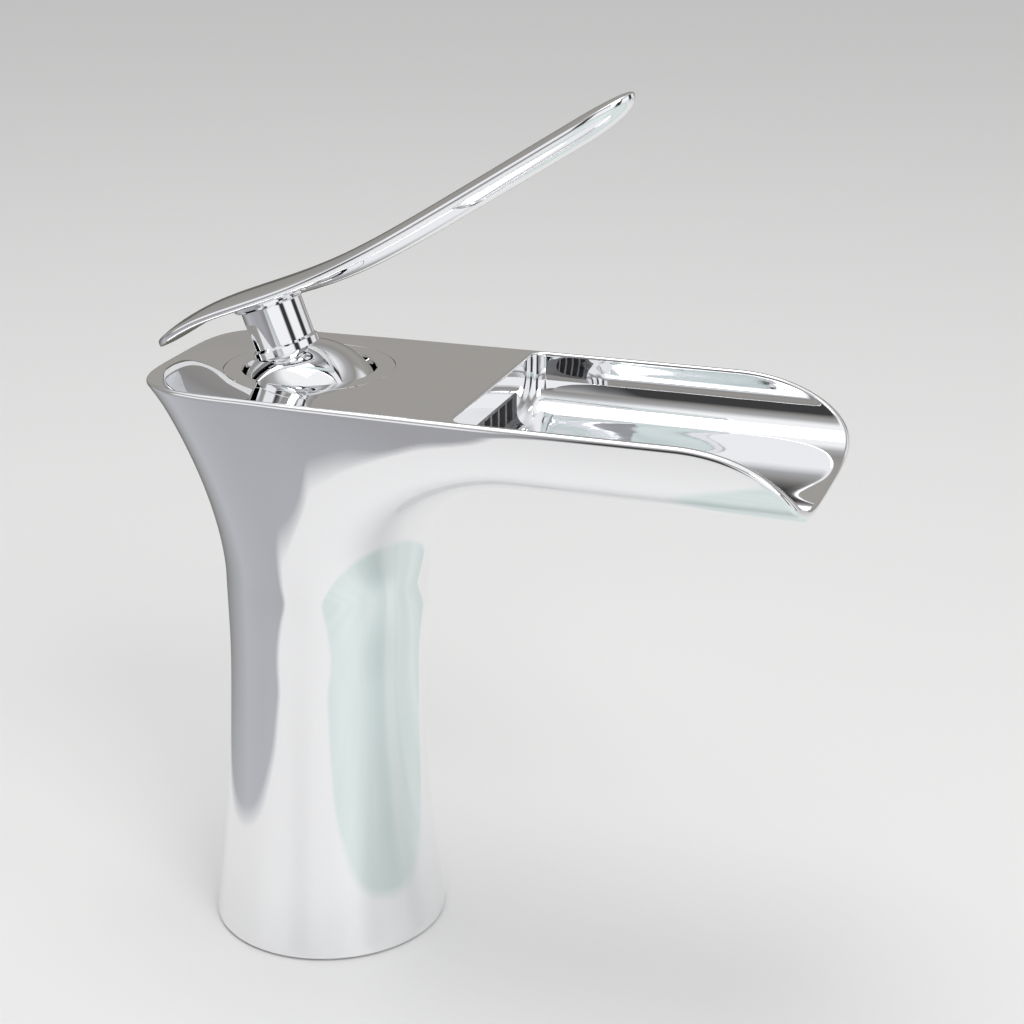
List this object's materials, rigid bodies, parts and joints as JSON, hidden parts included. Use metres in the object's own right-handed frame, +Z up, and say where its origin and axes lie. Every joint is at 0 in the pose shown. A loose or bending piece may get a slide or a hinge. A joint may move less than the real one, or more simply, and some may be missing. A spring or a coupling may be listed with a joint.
{
  "type": "waterfall basin faucet",
  "caption": "Single-lever waterfall basin tap: round waisted column, flat deck and open trough spout, with a tilting and turning paddle lever on a ball joint.",
  "frame": {"origin": "centre of the round base on the counter, where the base gasket rests", "axes": "+Z up, +X along the spout towards the basin, +Y completes the right-handed frame (Y=0 is the plane of symmetry)"},
  "size_m": [0.1371, 0.0534, 0.2316],
  "materials": {
    "chrome_body": "mirror polished",
    "seal_rubber": "matte",
    "zinc_steel": "zinc plated",
    "brass_parts": "machined",
    "insert_plastic": "matte",
    "cartridge_plastic": "moulded",
    "disc_ceramic": "lapped"
  },
  "bodies": {
    "tap": {"tap_body": "chrome_body", "base_gasket": "seal_rubber", "mounting_stud": "zinc_steel", "clamp_gasket": "seal_rubber", "clamp_plate": "zinc_steel", "stud_nut": "brass_parts", "bezel_ring": "chrome_body", "cartridge_nut": "brass_parts", "outlet_insert": "insert_plastic", "port_seals": "seal_rubber", "cartridge_floor": "cartridge_plastic", "disc_seal": "seal_rubber", "fixed_disc": "disc_ceramic", "cartridge_housing": "cartridge_plastic"},
    "disc": {"moving_disc": "disc_ceramic", "disc_carrier": "cartridge_plastic"},
    "turntable": {"turntable": "cartridge_plastic", "pivot_pin": "zinc_steel"},
    "handle": {"ball_cap": "chrome_body", "spindle": "brass_parts", "lever_blade": "chrome_body", "lever_stem": "chrome_body", "set_screw": "zinc_steel"}
  },
  "joints": [
    {"name": "lever_turn", "type": "hinge", "parent": "tap", "child": "turntable", "pos_m": [-0.001, 0, 0.112], "axis": [0, 0, 1], "range_deg": [-45, 45]},
    {"name": "lever_lift", "type": "hinge", "parent": "turntable", "child": "handle", "pos_m": [-0.001, 0, 0.112], "axis": [0, 1, 0], "range_deg": [0, 20]},
    {"name": "disc_slide", "type": "slide", "parent": "turntable", "child": "disc", "axis": [1, 0, 0], "range_m": [-0.0053, 0]}
  ],
  "couplings": [
    {"joint": "disc_slide", "follows": "lever_lift", "m_per_rad": -0.015089}
  ]
}
